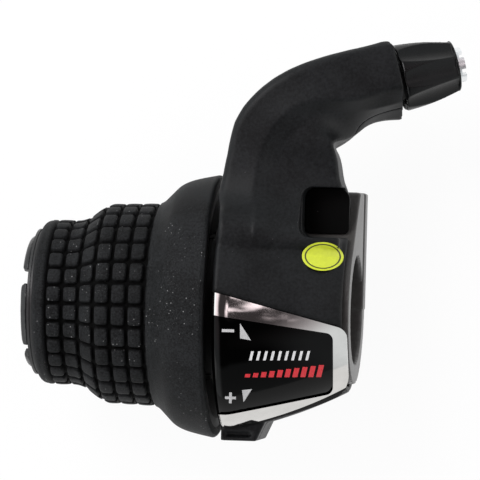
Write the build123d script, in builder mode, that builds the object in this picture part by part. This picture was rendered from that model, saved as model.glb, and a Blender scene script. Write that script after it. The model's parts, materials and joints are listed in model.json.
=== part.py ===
from build123d import *
import os
from math import acos, cos, hypot, radians, sin, sqrt, tan

# Twist grip shifter for the left end of a flat handlebar, in millimetres.
# X runs along the bar and points inboard, Y points forward, Z points up to the rider.
# The origin is on the bar's axis, in the inboard face of the clamp.

os.makedirs("parts", exist_ok=True)

# Fits
running_gap = 0.08  # radial play of a turning or sliding fit
face_gap = 0.05  # play between faces that slide on each other
seat_gap = 0.1  # play between pieces that are fixed together
open_gap = 0.4  # free space round a piece that passes another

# Clamp on the bar
bar_radius = 11.1
clamp_play = 0.05
clamp_wall = 4.15
clamp_length = 12.0
ear_reach = 24.3
ear_near = -2.6
ear_far = -17.0
ear_lean = 38.0  # where the ear leaves the ring, in degrees from the top
ear_round = 2.0
slit_level = -11.25
slit_width = 2.5
clamp_bore = bar_radius + clamp_play
clamp_outer = clamp_bore + clamp_wall

# Clamp bolt and its square nut, upright through the ear
bolt_radius = 2.0
bolt_play = 0.2
bolt_forward = 18.8
bolt_head_radius = 3.5
bolt_head_height = 4.0
bolt_head_sink = 2.0
bolt_past_nut = 1.5
bolt_socket = 3.0
bolt_socket_depth = 2.0
nut_width = 7.0
nut_height = 2.4
nut_above_slit = 2.4

# Sleeve that the grip turns on, with snap claws at its end
sleeve_play = 0.3
sleeve_wall = 1.6
bulkhead_thick = 2.0
claw_count = 5
claw_length = 1.6
claw_hook = 1.2
claw_tip_hook = 0.2
claw_slot = 3.2
claw_slot_length = 8.0
claw_turn = 12.5
end_washer_thick = 0.5
end_washer_width = 2.0
key_count = 3
key_width = 3.0
key_depth = 0.7
sleeve_inner = bar_radius + sleeve_play
sleeve_outer = sleeve_inner + sleeve_wall

# Grip: rubber blocks in rings, then a smooth collar that flares to the housing
collar_right = -28.4
collar_length = 13.0
collar_radius = 27.1
collar_bends = [(0.28, 0.40), (0.66, 0.85)]  # shares of the collar's length and rise
collar_slopes = (0.1, 0.15)  # at the narrow and the wide end
tread_columns = 6
tread_rows = 28
tread_pitch = 3.5
tread_slope_column = 3  # column from the clamp's side that climbs to the wide end
tread_narrow_radius = 17.0
tread_wide_radius = 20.6
tread_end_radius = 20.9
groove_width = 0.6
groove_depth = 0.9
lip_length = 2.9
lip_radius = 16.7
lip_round = 1.6
rubber_thick = 2.1
core_overhang = 0.5
core_tube_wall = 1.9
core_shell_wall = 1.9

# Friction pack and cable drum inside the housing
spring_thick = 0.5
spring_cone = 0.5
plate_thick = 0.8
friction_thick = 1.2
pack_width = 5.0
drum_radius = 19.6
drum_groove_radius = 16.6
drum_groove_width = 3.2
drum_groove_flank = 0.5
drum_hub_radius = 17.2
drum_flange_inset = 0.5
dog_count = 3
dog_width = 5.0
dog_length = 4.0
dog_turn = 30.0
nipple_radius = 2.3
nipple_depth = 4.0
nipple_turn = 60.0

# Bell of the housing
bell_left = -26.7
bell_right = -1.2
bell_left_radius = 25.95
bell_right_radius = 16.9
bell_crown = 1.0
bell_edge_round = 0.9
cover_wall = 1.9
neck_wall = 2.3
end_wall = 2.2
parting_level = 3.0

# Cable outlet at the end of the neck
outlet_x = 7.1
outlet_y = 47.7
outlet_z = 2.0
outlet_heading = 14.7  # degrees from X towards Y
outlet_drop = 14.5  # degrees below the level

# Cover lug, port pocket and cover screws
lug_right = -19.4
lug_slope = 2.6
lug_reach = 27.4
lug_top = 6.5
lug_bottom = -10.0
lug_rim = 0.9
lug_sink = 0.7
pocket_left = -10.5
pocket_back = 14.8
pocket_front = 25.0
pocket_floor = 6.6
pocket_top = 11.0
pocket_round = 2.2
port_margin = 1.6
port_plate_thick = 1.2
screw_radius = 1.1
screw_play = 0.35
screw_head_radius = 2.1
screw_head_height = 1.6
screw_slot_width = 0.7
screw_slot_depth = 0.8
boss_radius = 2.8
neck_screw_x = -9.5
neck_screw_y = 31.0
neck_screw_head_level = -2.6
neck_screw_length = 10.0
lug_screw_x = -22.8
lug_screw_inset = 2.2
lug_screw_length = 12.0

# Indicator, drawn square to the rider's line of sight
sight_tilt = 7.5
indicator_depth = 0.9
bezel_proud = 0.7
bezel_right = -0.1
window_proud = 0.35
indicator_edge_round = 1.0
sight_left = -32.0
indicator_level = 4.6

# Cable adjuster, measured along the outlet's axis from the neck's end
thread_radius = 2.5
insert_radius = 3.2
insert_flat = 2.9
insert_recess = 0.4
flange_radius = 5.2
flange_thick = 2.5
counterbore_radius = 4.7
counterbore_depth = 9.4
detent_front = 1.3
detent_length = 6.3
coil_wire = 0.35
coil_turns = 3
knob_base_radius = 6.55
knob_tip_radius = 4.8
knob_length = 11.3
knob_crown = 0.5
knob_edge_round = 0.5
knob_flutes = 8
knob_flute_radius = 5.0
knob_flute_turn = 7.9
knob_flute_depths = (0.15, 0.55)  # at the back and at the tip
tip_step = 3.8  # where the bolt widens inside the knob, from the knob's back
tip_radius = 3.6
tip_proud = 1.5
tip_notches = 6
tip_notch_width = 1.3
tip_notch_depth = 0.9
casing_radius = 2.6
casing_depth = 6.0
wire_radius = 1.0
guide_radius = 1.6
guide_bend_radius = 12.0
guide_start = (-20.8, 24.5, 11.0)
guide_corner_back = 23.0

# Stations along the bar, worked out from the sizes above
bulkhead_left = -clamp_length - bulkhead_thick
plate_right = bulkhead_left - spring_thick - spring_cone
friction_right = plate_right - plate_thick
drum_right = friction_right - friction_thick - face_gap
core_right = collar_right - seat_gap
drum_left = core_right
collar_left = collar_right - collar_length
tread_left = collar_left - tread_columns * tread_pitch
slope_right = collar_left - tread_slope_column * tread_pitch
slope_left = slope_right - tread_pitch
lip_left = tread_left - lip_length
core_left = lip_left - core_overhang
claw_back = core_left - end_washer_thick - 2 * face_gap
claw_tip = claw_back - claw_length
grip_bore = sleeve_outer + running_gap
core_tube = grip_bore + core_tube_wall
pack_inner = sleeve_outer + seat_gap
pack_outer = pack_inner + pack_width

# Cover screw in the lug, and how far a cutter goes right through the housing
lug_screw_y = lug_screw_inset - lug_reach
sight_reach = 2 * bell_left_radius

# Room for the clamp in the covers, and levels of the clamp bolt
clamp_room = -clamp_length - open_gap
bolt_x = -clamp_length / 2
slit_top = slit_level + slit_width / 2
nut_bottom = slit_top + nut_above_slit
bolt_seat = ear_far + bolt_head_sink
bolt_end = nut_bottom + nut_height + bolt_past_nut

# Meridian of the bell: one arc, bulged by the crown
bell_run = bell_right - bell_left
bell_fall = bell_left_radius - bell_right_radius
bell_chord = hypot(bell_run, bell_fall)
bell_arc = (bell_chord**2 / 4 + bell_crown**2) / (2 * bell_crown)
bell_centre_x = (bell_left + bell_right) / 2 - (bell_arc - bell_crown) * bell_fall / bell_chord
bell_centre_r = (bell_left_radius + bell_right_radius) / 2 - (bell_arc - bell_crown) * bell_run / bell_chord


def bell_radius(x, rise=0.0):
    """Radius of the bell's outside at a station, raised by a layer."""
    return bell_centre_r + sqrt((bell_arc + rise) ** 2 - (x - bell_centre_x) ** 2)


bulkhead_radius = bell_radius(-clamp_length, -cover_wall) - open_gap


def bell(rise, left, right, edge_round=0.0):
    """Solid of revolution inside one layer of the bell, with its wide edge rounded."""
    middle = (left + right) / 2
    start, crest, end = [(x, bell_radius(x, rise)) for x in (left + edge_round, middle, right)]
    rim = (left, bell_radius(left, rise) - edge_round)
    with BuildPart() as solid:
        with BuildSketch(Plane.XZ):
            with BuildLine():
                ThreePointArc(start, crest, end)
                Polyline(end, (right, 0), (left, 0), rim)
                if edge_round:
                    RadiusArc(rim, start, edge_round)
            make_face()
        revolve(axis=Axis.X)
    return solid.part


def clamp_outline(x, margin):
    """Ring and ear of the clamp at a station, seen along the bar and widened by a margin."""
    leave = radians(ear_lean)
    ear = [
        (0, 0),
        (clamp_outer * sin(leave), clamp_outer * cos(leave)),
        (ear_reach, ear_near),
        (ear_reach, ear_far),
        (0, ear_far),
    ]
    with BuildSketch(Plane.YZ.offset(x)) as outline:
        with BuildLine():
            Polyline(*ear, close=True)
        make_face()
        fillet(outline.vertices().group_by(Axis.Y)[-1], ear_round)
        Circle(clamp_outer)
        if margin:
            offset(amount=margin)
    return outline.sketch


def cross_plane(origin, heading, drop):
    """Plane across the neck, with its X to the outside of the bend and its Y up."""
    turn, dip = radians(heading), radians(drop)
    ahead = (cos(turn) * cos(dip), sin(turn) * cos(dip), -sin(dip))
    return Plane(origin=origin, x_dir=(-sin(turn), cos(turn), 0), z_dir=ahead)


outlet = cross_plane((outlet_x, outlet_y, outlet_z), outlet_heading, outlet_drop)

# Ribs of the neck from the bell to the outlet: origin, heading and drop of the plane, then the section's
# shoulder, crest, foot of the step, web edge and floor, each across and up. The shoulder is at the outside,
# and its rounding comes last.
neck_straight = 8.5
neck_shift = outlet.offset(-neck_straight).origin
neck_end = outlet.origin
neck_ribs = [
    ((-15.0, 12.0, 5.0), 90.0, 0.0, (11.6, 17.6), (4.5, 16.2), (1.0, 14.9), (-12.8, 8.0), -9.0, 0.9),
    ((-15.0, 21.0, 5.0), 90.0, 0.0, (12.0, 12.6), (4.6, 12.2), (1.2, 10.9), (-13.4, 7.2), -9.5, 1.2),
    ((-15.0, 31.0, 5.0), 90.0, 0.0, (11.9, 9.6), (4.2, 9.6), (0.8, 8.0), (-11.6, 6.4), -9.5, 1.6),
    ((-12.4, 41.0, 7.2), 50.0, 8.0, (9.1, 7.6), (-0.4, 7.6), (-3.8, 5.2), (-10.8, 3.8), -11.0, 1.8),
    ((-5.5, 44.5, 5.6), 27.0, 12.0, (8.4, 7.4), (-2.6, 7.4), (-4.8, 3.8), (-9.8, -1.5), -9.5, 1.8),
    (neck_shift, outlet_heading, outlet_drop, (8.2, 7.3), (-2.6, 7.3), (-5.0, 3.6), (-8.4, -3.6), -8.3, 1.7),
    (neck_end, outlet_heading, outlet_drop, (8.2, 7.3), (-2.6, 7.3), (-5.0, 3.6), (-8.2, -3.6), -7.2, 1.7),
]
floor_round = 2.5
inner_rounds = [1.4, 1.8, 0.9, 2.0]
hollow_ribs = 5  # ribs that the hollow of the neck runs through


def inset_loop(corners, inset):
    """Corners of a counter-clockwise loop, moved inwards by a wall."""
    moved = []
    count = len(corners)
    for i in range(count):
        before, here, after = [Vector(*corners[(i + step) % count]) for step in (-1, 0, 1)]
        arrive = (here - before).normalized()
        leave = (after - here).normalized()
        turn = arrive.X * leave.Y - arrive.Y * leave.X
        shift = (leave - arrive) * (inset / turn)
        moved.append((here.X + shift.X, here.Y + shift.Y))
    return moved


def rounded_loop(corners, rounds):
    """Closed line through corners, each with its own rounding."""
    count = len(corners)
    arcs = []
    for i in range(count):
        before, corner, after = [Vector(*corners[(i + step) % count]) for step in (-1, 0, 1)]
        back = (before - corner).normalized()
        ahead = (after - corner).normalized()
        half = acos(back.dot(ahead)) / 2
        along = rounds[i] / tan(half)
        middle = (back + ahead).normalized() * (rounds[i] / sin(half) - rounds[i])
        arcs.append((corner + back * along, corner + middle, corner + ahead * along))
    for i in range(count):
        Line(arcs[i - 1][2], arcs[i][0])
        ThreePointArc(*arcs[i])


def neck(inset, ribs):
    """Swan neck lofted through its ribs. Its hollow, moved inwards by a wall, has sharp corners."""
    with BuildPart() as solid:
        for origin, heading, drop, shoulder, crest, foot, web, floor, shoulder_round in ribs:
            corners = [(shoulder[0], floor), shoulder, crest, foot, web, (web[0], floor)]
            with BuildSketch(cross_plane(origin, heading, drop)):
                with BuildLine():
                    if inset:
                        Polyline(*inset_loop(corners, inset), close=True)
                    else:
                        rounded_loop(corners, [floor_round, shoulder_round, *inner_rounds])
                make_face()
        loft()
    return solid.part


def bore_along(plane, radius, start, end):
    """Round bar along a plane's axis, between two distances from it."""
    with BuildPart() as solid:
        with BuildSketch(plane.offset(start)):
            Circle(radius)
        extrude(amount=end - start)
    return solid.part


# Main bracket: clamp ring with its ear and slit, bulkhead, and the sleeve with its claws
with BuildPart() as main_bracket:
    extrude(clamp_outline(-clamp_length, 0), amount=clamp_length)
    add(bore_along(Plane.YZ, clamp_bore, -clamp_length - open_gap, open_gap), mode=Mode.SUBTRACT)
    with BuildSketch(Plane.YZ.offset(-clamp_length)):
        with Locations((0, slit_level)):
            Rectangle(ear_reach + ear_round, slit_width, align=(Align.MIN, Align.CENTER))
    extrude(amount=clamp_length, mode=Mode.SUBTRACT)
    with BuildSketch(Plane.XZ):
        with BuildLine():
            Polyline(
                (-clamp_length, sleeve_inner),
                (-clamp_length, bulkhead_radius),
                (bulkhead_left, bulkhead_radius),
                (bulkhead_left, sleeve_outer),
                (claw_back, sleeve_outer),
                (claw_back, sleeve_outer + claw_hook),
                (claw_tip, sleeve_outer + claw_tip_hook),
                (claw_tip, sleeve_inner),
                close=True,
            )
        make_face()
    revolve(axis=Axis.X)
    with BuildSketch(Plane.YZ.offset(claw_tip)):
        with PolarLocations(sleeve_outer, claw_count, start_angle=90 + claw_turn + 180 / claw_count):
            Rectangle(2 * sleeve_wall + 2 * claw_hook, claw_slot)
    extrude(amount=claw_slot_length, mode=Mode.SUBTRACT)
    with BuildSketch(Plane.YZ.offset(bulkhead_left)):
        with PolarLocations(sleeve_outer, key_count, start_angle=90):
            Rectangle(2 * key_depth, key_width)
    extrude(amount=friction_right - bulkhead_left, mode=Mode.SUBTRACT)
    with BuildSketch(Plane.XY.offset(ear_far)):
        with Locations((bolt_x, bolt_forward)):
            Circle(bolt_head_radius + bolt_play)
    extrude(amount=bolt_head_sink, mode=Mode.SUBTRACT)
    with BuildSketch(Plane.XY.offset(ear_far)):
        with Locations((bolt_x, bolt_forward)):
            Circle(bolt_radius + bolt_play)
    extrude(amount=bolt_end + open_gap - ear_far, mode=Mode.SUBTRACT)
    with BuildSketch(Plane.XY.offset(nut_bottom - seat_gap)):
        with Locations((bolt_x, bolt_forward - nut_width / 2 - seat_gap)):
            Rectangle(nut_width + 2 * seat_gap, ear_reach, align=(Align.CENTER, Align.MIN))
    extrude(amount=nut_height + 2 * seat_gap, mode=Mode.SUBTRACT)

# Clamp bolt, driven from below
with BuildPart() as clamp_bolt:
    with BuildSketch(Plane.XY.offset(bolt_seat)):
        with Locations((bolt_x, bolt_forward)):
            Circle(bolt_head_radius)
    extrude(amount=-bolt_head_height)
    with BuildSketch(Plane.XY.offset(bolt_seat)):
        with Locations((bolt_x, bolt_forward)):
            Circle(bolt_radius)
    extrude(amount=bolt_end - bolt_seat)
    with BuildSketch(Plane.XY.offset(bolt_seat - bolt_head_height)):
        with Locations((bolt_x, bolt_forward)):
            RegularPolygon(bolt_socket / 2, 6, major_radius=False)
    extrude(amount=bolt_socket_depth, mode=Mode.SUBTRACT)

# Square nut in its slot in the near ear
with BuildPart() as clamp_nut:
    with BuildSketch(Plane.XY.offset(nut_bottom)):
        with Locations((bolt_x, bolt_forward)):
            Rectangle(nut_width, nut_width)
            Circle(bolt_radius + face_gap, mode=Mode.SUBTRACT)
    extrude(amount=nut_height)

# Friction pack: disc spring, keyed pressure plate and friction washer
with BuildPart() as disc_spring:
    with BuildSketch(Plane.XZ):
        with BuildLine():
            Polyline(
                (bulkhead_left, pack_outer),
                (bulkhead_left - spring_thick, pack_outer),
                (bulkhead_left - spring_thick - spring_cone, pack_inner),
                (bulkhead_left - spring_cone, pack_inner),
                close=True,
            )
        make_face()
    revolve(axis=Axis.X)

with BuildPart() as pressure_plate:
    with BuildSketch(Plane.YZ.offset(plate_right)):
        Circle(pack_outer)
        Circle(pack_inner, mode=Mode.SUBTRACT)
        with PolarLocations(pack_inner, key_count, start_angle=90):
            Rectangle(2 * (key_depth - seat_gap), key_width - 2 * seat_gap)
    extrude(amount=-plate_thick)

with BuildPart() as friction_washer:
    with BuildSketch(Plane.YZ.offset(friction_right)):
        Circle(pack_outer)
        Circle(pack_inner, mode=Mode.SUBTRACT)
    extrude(amount=-friction_thick)

# Thrust washer between the grip and the claws
with BuildPart() as end_washer:
    with BuildSketch(Plane.YZ.offset(claw_back + face_gap)):
        Circle(sleeve_outer + seat_gap + end_washer_width)
        Circle(sleeve_outer + seat_gap, mode=Mode.SUBTRACT)
    extrude(amount=end_washer_thick)

# Outside of the grip from the lip to the collar, and the core's outside under it
tread_line = [
    (tread_left, tread_narrow_radius),
    (slope_left, tread_narrow_radius),
    (slope_right, tread_wide_radius),
    (collar_left, tread_end_radius),
]
collar_rise = collar_radius - tread_end_radius
collar_line = [
    (collar_left + run * collar_length, tread_end_radius + rise * collar_rise)
    for run, rise in [(0, 0), *collar_bends, (1, 1)]
]
core_line = [(x, radius - rubber_thick) for x, radius in tread_line[1:] + collar_line[1:]]
core_line[-1] = (core_right, collar_radius - rubber_thick)
core_inner_line = [(x, radius - core_shell_wall) for x, radius in core_line[2:]]
core_narrow = tread_narrow_radius - rubber_thick

# Hard core of the grip: a tube on the sleeve and a shell that widens with the rubber
with BuildPart() as grip_core:
    with BuildSketch(Plane.XZ):
        with BuildLine():
            Polyline(
                *core_line,
                *reversed(core_inner_line),
                (core_inner_line[0][0], core_tube),
                (core_right, core_tube),
                (core_right, grip_bore),
                (core_left, grip_bore),
                (core_left, core_narrow),
                close=True,
            )
        make_face()
    revolve(axis=Axis.X)
    with BuildSketch(Plane.YZ.offset(core_right)):
        with PolarLocations(core_tube, dog_count, start_angle=dog_turn):
            Rectangle(2 * core_tube_wall + 2 * running_gap, dog_width + 2 * seat_gap)
    extrude(amount=-dog_length - seat_gap, mode=Mode.SUBTRACT)

# One lengthwise groove of the tread, swung round the grip for every row
with BuildPart() as groove_blade:
    with BuildSketch(Plane.XZ):
        with BuildLine():
            Polyline(
                *[(x, radius - groove_depth) for x, radius in tread_line],
                (collar_left, collar_radius),
                (tread_left, collar_radius),
                close=True,
            )
        make_face()
    extrude(amount=groove_width / 2, both=True)

# Rubber cover with its rings of blocks
with BuildPart() as grip_rubber:
    with BuildSketch(Plane.XZ):
        with BuildLine():
            Line((lip_left, core_narrow), (lip_left, lip_radius - lip_round))
            RadiusArc((lip_left, lip_radius - lip_round), (lip_left + lip_round, lip_radius), lip_round)
            Polyline((lip_left + lip_round, lip_radius), *tread_line)
            Spline(*collar_line, tangents=[(1, slope) for slope in collar_slopes])
            Polyline(
                collar_line[-1],
                (collar_right, collar_radius - rubber_thick),
                *reversed(core_line),
                (lip_left, core_narrow),
            )
        make_face()
    revolve(axis=Axis.X)
    with BuildSketch(Plane.XZ):
        for column in range(tread_columns + 1):
            x = tread_left + column * tread_pitch
            radius = tread_narrow_radius if x <= slope_left + groove_width else tread_wide_radius
            with Locations((x, radius)):
                Rectangle(groove_width, 2 * groove_depth)
    revolve(axis=Axis.X, mode=Mode.SUBTRACT)
    rows = [groove_blade.part.rotate(Axis.X, 360 * row / tread_rows) for row in range(tread_rows)]
    add(rows, mode=Mode.SUBTRACT)

# Cable drum, keyed into the core by three dogs
with BuildPart() as cable_drum:
    flange_left = bell_left + drum_flange_inset
    groove_middle = (flange_left + drum_right) / 2
    groove_half = drum_groove_width / 2
    with BuildSketch(Plane.XZ):
        with BuildLine():
            Polyline(
                (drum_right, grip_bore),
                (drum_right, drum_radius),
                (groove_middle + groove_half, drum_radius),
                (groove_middle + groove_half - drum_groove_flank, drum_groove_radius),
                (groove_middle - groove_half + drum_groove_flank, drum_groove_radius),
                (groove_middle - groove_half, drum_radius),
                (flange_left, drum_radius),
                (flange_left, drum_hub_radius),
                (drum_left, drum_hub_radius),
                (drum_left, grip_bore),
                close=True,
            )
        make_face()
    revolve(axis=Axis.X)
    with BuildSketch(Plane.YZ.offset(drum_left)):
        with PolarLocations(core_tube, dog_count, start_angle=dog_turn):
            Rectangle(2 * core_tube_wall, dog_width)
        Circle(core_tube - seat_gap, mode=Mode.INTERSECT)
        Circle(grip_bore, mode=Mode.SUBTRACT)
    extrude(amount=-dog_length)
    with BuildSketch(Plane.YZ.offset(drum_right)):
        with PolarLocations(drum_groove_radius, 1, start_angle=nipple_turn):
            Circle(nipple_radius)
    extrude(amount=-nipple_depth, mode=Mode.SUBTRACT)

# Housing: bell and swan neck as one form, hollowed, before it is parted
with BuildPart() as housing_form:
    add(bell(0, bell_left, bell_right, bell_edge_round))
    add(neck(0, neck_ribs))
    with BuildSketch(Plane.XY.offset(lug_bottom)):
        with BuildLine():
            Polyline(
                (bell_left, 0),
                (bell_left, -lug_reach),
                (lug_right, -lug_reach),
                (lug_right + lug_slope, -bell_radius(lug_right) + lug_slope),
                (lug_right + lug_slope, 0),
                close=True,
            )
        make_face()
    extrude(amount=lug_top - lug_bottom)
    add(neck(neck_wall, neck_ribs[:hollow_ribs]), mode=Mode.SUBTRACT)
    add(bell(-cover_wall, bell_left - cover_wall, bell_right - end_wall), mode=Mode.SUBTRACT)

# Seat of the cable adjuster in the neck's end
flange_front = -counterbore_depth
flange_back = flange_front - flange_thick
with BuildPart() as adjuster_seat:
    with BuildSketch(outlet.offset(flange_back - seat_gap)):
        RegularPolygon(flange_radius + seat_gap, 6)
    extrude(amount=flange_thick + seat_gap)
    add(bore_along(outlet, counterbore_radius, flange_front, open_gap))
    add(bore_along(outlet, guide_radius + seat_gap, -guide_corner_back, flange_back))

# Room for the bulkhead in the covers
bulkhead_space = bore_along(
    Plane.YZ, bulkhead_radius + open_gap, bulkhead_left - open_gap, open_gap - clamp_length
)

# Outline of the indicator, square to the line of sight
sight = radians(sight_tilt)
sight_plane = Plane(origin=(0, 0, 0), x_dir=(cos(sight), 0, -sin(sight)), z_dir=(sin(sight), 0, cos(sight)))
bezel_corners = [(sight_left, -28.0), (-1.2, -17.6), (-2.2, -3.8), (sight_left, 3.9)]
bezel_rounds = [0.5, 6.0, 2.8, 0.5]
window_corners = [(sight_left, -23.1), (-4.7, -17.0), (-5.2, -4.8), (sight_left, -1.2)]
window_rounds = [0.5, 1.6, 1.6, 0.5]


def indicator_layer(rise, corners, rounds, margin, edge_round=0.0):
    """Piece of the bell's skin inside an outline, from the seat up to a layer."""
    with BuildPart() as layer:
        add(bell(rise, bell_left, bezel_right, edge_round))
        add(bell(-indicator_depth, bell_left - open_gap, bezel_right + open_gap), mode=Mode.SUBTRACT)
        with BuildSketch(sight_plane.offset(indicator_level - margin)):
            with BuildLine():
                rounded_loop(corners, rounds)
            make_face()
            if margin:
                offset(amount=margin)
        extrude(amount=sight_reach, mode=Mode.INTERSECT)
    return layer.part


# Upper cover with the port pocket, the indicator's seat and screw bosses
pocket_length = pocket_front - pocket_back
pocket_middle = (pocket_back + pocket_front) / 2
port_ledge = pocket_floor - port_plate_thick
neck_boss_top = neck_ribs[2][0][2] + neck_ribs[2][6][1]
lug_face = lug_reach - lug_rim - open_gap - sqrt(bell_left_radius**2 - lug_top**2)
with BuildPart() as upper_cover:
    add(housing_form.part)
    with BuildSketch(Plane.XY.offset(port_ledge - cover_wall)):
        with Locations((pocket_left - cover_wall, pocket_middle)):
            Rectangle(
                bell_right - pocket_left, pocket_length + 2 * cover_wall, align=(Align.MIN, Align.CENTER)
            )
    extrude(amount=pocket_top - port_ledge + cover_wall)
    with BuildSketch(Plane.XY):
        with Locations((neck_screw_x, neck_screw_y)):
            Circle(boss_radius)
    extrude(amount=neck_boss_top - screw_play)
    split(bisect_by=Plane.XY.offset(parting_level), keep=Keep.TOP)
    with BuildSketch(Plane.XY.offset(port_ledge)):
        with Locations((pocket_left, pocket_middle)):
            RectangleRounded(
                2 * (bell_right - pocket_left), pocket_length, pocket_round, align=(Align.MIN, Align.CENTER)
            )
    extrude(amount=sight_reach, mode=Mode.SUBTRACT)
    with BuildSketch(Plane.XY.offset(parting_level)):
        with Locations((pocket_left + port_margin, pocket_middle)):
            RectangleRounded(
                -pocket_left - clamp_wall - port_margin,
                pocket_length - 2 * port_margin,
                pocket_round,
                align=(Align.MIN, Align.CENTER),
            )
    extrude(amount=port_ledge - parting_level, mode=Mode.SUBTRACT)
    for x, y, tip in [
        (neck_screw_x, neck_screw_y, neck_screw_head_level + neck_screw_length),
        (lug_screw_x, lug_screw_y, lug_bottom + screw_head_height + lug_screw_length),
    ]:
        with BuildSketch(Plane.XY.offset(parting_level)):
            with Locations((x, y)):
                Circle(screw_radius + face_gap)
        extrude(amount=tip + open_gap - parting_level, mode=Mode.SUBTRACT)
    with BuildSketch(Plane.XY.offset(lug_top)):
        with Locations(((bell_left + lug_right) / 2, lug_rim - lug_reach)):
            Rectangle(lug_right - bell_left - 2 * lug_rim, lug_face, align=(Align.CENTER, Align.MIN))
    extrude(amount=-lug_sink, mode=Mode.SUBTRACT)
    add(indicator_layer(bezel_proud, bezel_corners, bezel_rounds, seat_gap), mode=Mode.SUBTRACT)
    add(adjuster_seat.part, mode=Mode.SUBTRACT)
    add(bulkhead_space, mode=Mode.SUBTRACT)
    extrude(clamp_outline(clamp_room, open_gap), amount=2 * open_gap - clamp_room, mode=Mode.SUBTRACT)

# Lower cover with the screw sinks
with BuildPart() as lower_cover:
    add(housing_form.part)
    with BuildSketch(Plane.XY.offset(parting_level)):
        with Locations((neck_screw_x, neck_screw_y)):
            Circle(boss_radius)
    extrude(amount=neck_screw_head_level - parting_level - cover_wall / 2)
    split(bisect_by=Plane.XY.offset(parting_level), keep=Keep.BOTTOM)
    with BuildSketch(Plane.XY.offset(parting_level)):
        with Locations((neck_screw_x, neck_screw_y), (lug_screw_x, lug_screw_y)):
            Circle(screw_radius + screw_play)
    extrude(amount=lug_bottom - parting_level, mode=Mode.SUBTRACT)
    with BuildSketch(Plane.XY.offset(neck_screw_head_level)):
        with Locations((neck_screw_x, neck_screw_y)):
            Circle(screw_head_radius + screw_play)
    extrude(amount=lug_bottom, mode=Mode.SUBTRACT)
    with BuildSketch(Plane.XY.offset(lug_bottom + screw_head_height)):
        with Locations((lug_screw_x, lug_screw_y)):
            Circle(screw_head_radius)
    extrude(amount=lug_bottom, mode=Mode.SUBTRACT)
    add(adjuster_seat.part, mode=Mode.SUBTRACT)
    add(bulkhead_space, mode=Mode.SUBTRACT)
    extrude(clamp_outline(clamp_room, open_gap), amount=2 * open_gap - clamp_room, mode=Mode.SUBTRACT)

# Plate over the cable port
with BuildPart() as port_cover:
    with BuildSketch(Plane.XY.offset(port_ledge)):
        with Locations((pocket_left + seat_gap, pocket_middle)):
            RectangleRounded(
                bell_right - pocket_left - 2 * seat_gap,
                pocket_length - 2 * seat_gap,
                pocket_round,
                align=(Align.MIN, Align.CENTER),
            )
    extrude(amount=port_plate_thick)
    extrude(clamp_outline(clamp_room, open_gap), amount=2 * open_gap - clamp_room, mode=Mode.SUBTRACT)


def screw(x, y, seat, length):
    """Cover screw driven upwards, with its head under the seat."""
    with BuildPart() as solid:
        with BuildSketch(Plane.XY.offset(seat)):
            with Locations((x, y)):
                Circle(screw_head_radius - face_gap)
        extrude(amount=-screw_head_height)
        with BuildSketch(Plane.XY.offset(seat)):
            with Locations((x, y)):
                Circle(screw_radius)
        extrude(amount=length)
        with Locations((x, y, seat - screw_head_height)):
            Box(2 * screw_head_radius, screw_slot_width, 2 * screw_slot_depth, mode=Mode.SUBTRACT)
    return solid.part


# The two screws that join the covers
with BuildPart() as cover_screws:
    add(screw(neck_screw_x, neck_screw_y, neck_screw_head_level, neck_screw_length))
    add(screw(lug_screw_x, lug_screw_y, lug_bottom + screw_head_height, lug_screw_length))

# Bright frame of the indicator and the window inside it
with BuildPart() as indicator_bezel:
    add(indicator_layer(bezel_proud, bezel_corners, bezel_rounds, 0, indicator_edge_round))
    with BuildSketch(sight_plane):
        with BuildLine():
            rounded_loop(inset_loop(window_corners, -seat_gap), window_rounds)
        make_face()
    extrude(amount=sight_reach, mode=Mode.SUBTRACT)

with BuildPart() as indicator_window:
    add(indicator_layer(window_proud, window_corners, window_rounds, 0, indicator_edge_round))

# Liner that leads the cable round the neck
with BuildPart() as cable_guide:
    with BuildLine() as guide_path:
        FilletPolyline(
            guide_start,
            outlet.offset(-guide_corner_back).origin,
            outlet.offset(flange_back - seat_gap).origin,
            radius=guide_bend_radius,
        )
    with BuildSketch(Plane(origin=guide_path.line @ 0, z_dir=guide_path.line % 0)):
        Circle(guide_radius)
        Circle(wire_radius, mode=Mode.SUBTRACT)
    sweep()

# Brass insert held by its six-sided flange, with flats that keep the detent sleeve from turning
with BuildPart() as adjuster_insert:
    with BuildSketch(outlet.offset(flange_back)):
        RegularPolygon(flange_radius, 6)
    extrude(amount=flange_thick - face_gap)
    with BuildSketch(outlet.offset(flange_back)):
        Circle(insert_radius)
        Rectangle(2 * insert_radius, 2 * insert_flat, mode=Mode.INTERSECT)
    extrude(amount=-flange_back - insert_recess)
    add(bore_along(outlet, thread_radius, flange_back, 0), mode=Mode.SUBTRACT)

# Detent sleeve that slides on the insert and rests on the knob
detent_back = detent_front - detent_length
detent_radius = counterbore_radius - running_gap
with BuildPart() as detent_sleeve:
    with BuildSketch(outlet.offset(detent_back)):
        Circle(detent_radius)
    extrude(amount=detent_length)
    with BuildSketch(outlet.offset(detent_back)):
        Circle(insert_radius + seat_gap)
        Rectangle(2 * (insert_radius + seat_gap), 2 * (insert_flat + seat_gap), mode=Mode.INTERSECT)
    extrude(amount=-detent_back - insert_recess + seat_gap, mode=Mode.SUBTRACT)
    add(bore_along(outlet, thread_radius + seat_gap, detent_back, detent_front), mode=Mode.SUBTRACT)

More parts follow.
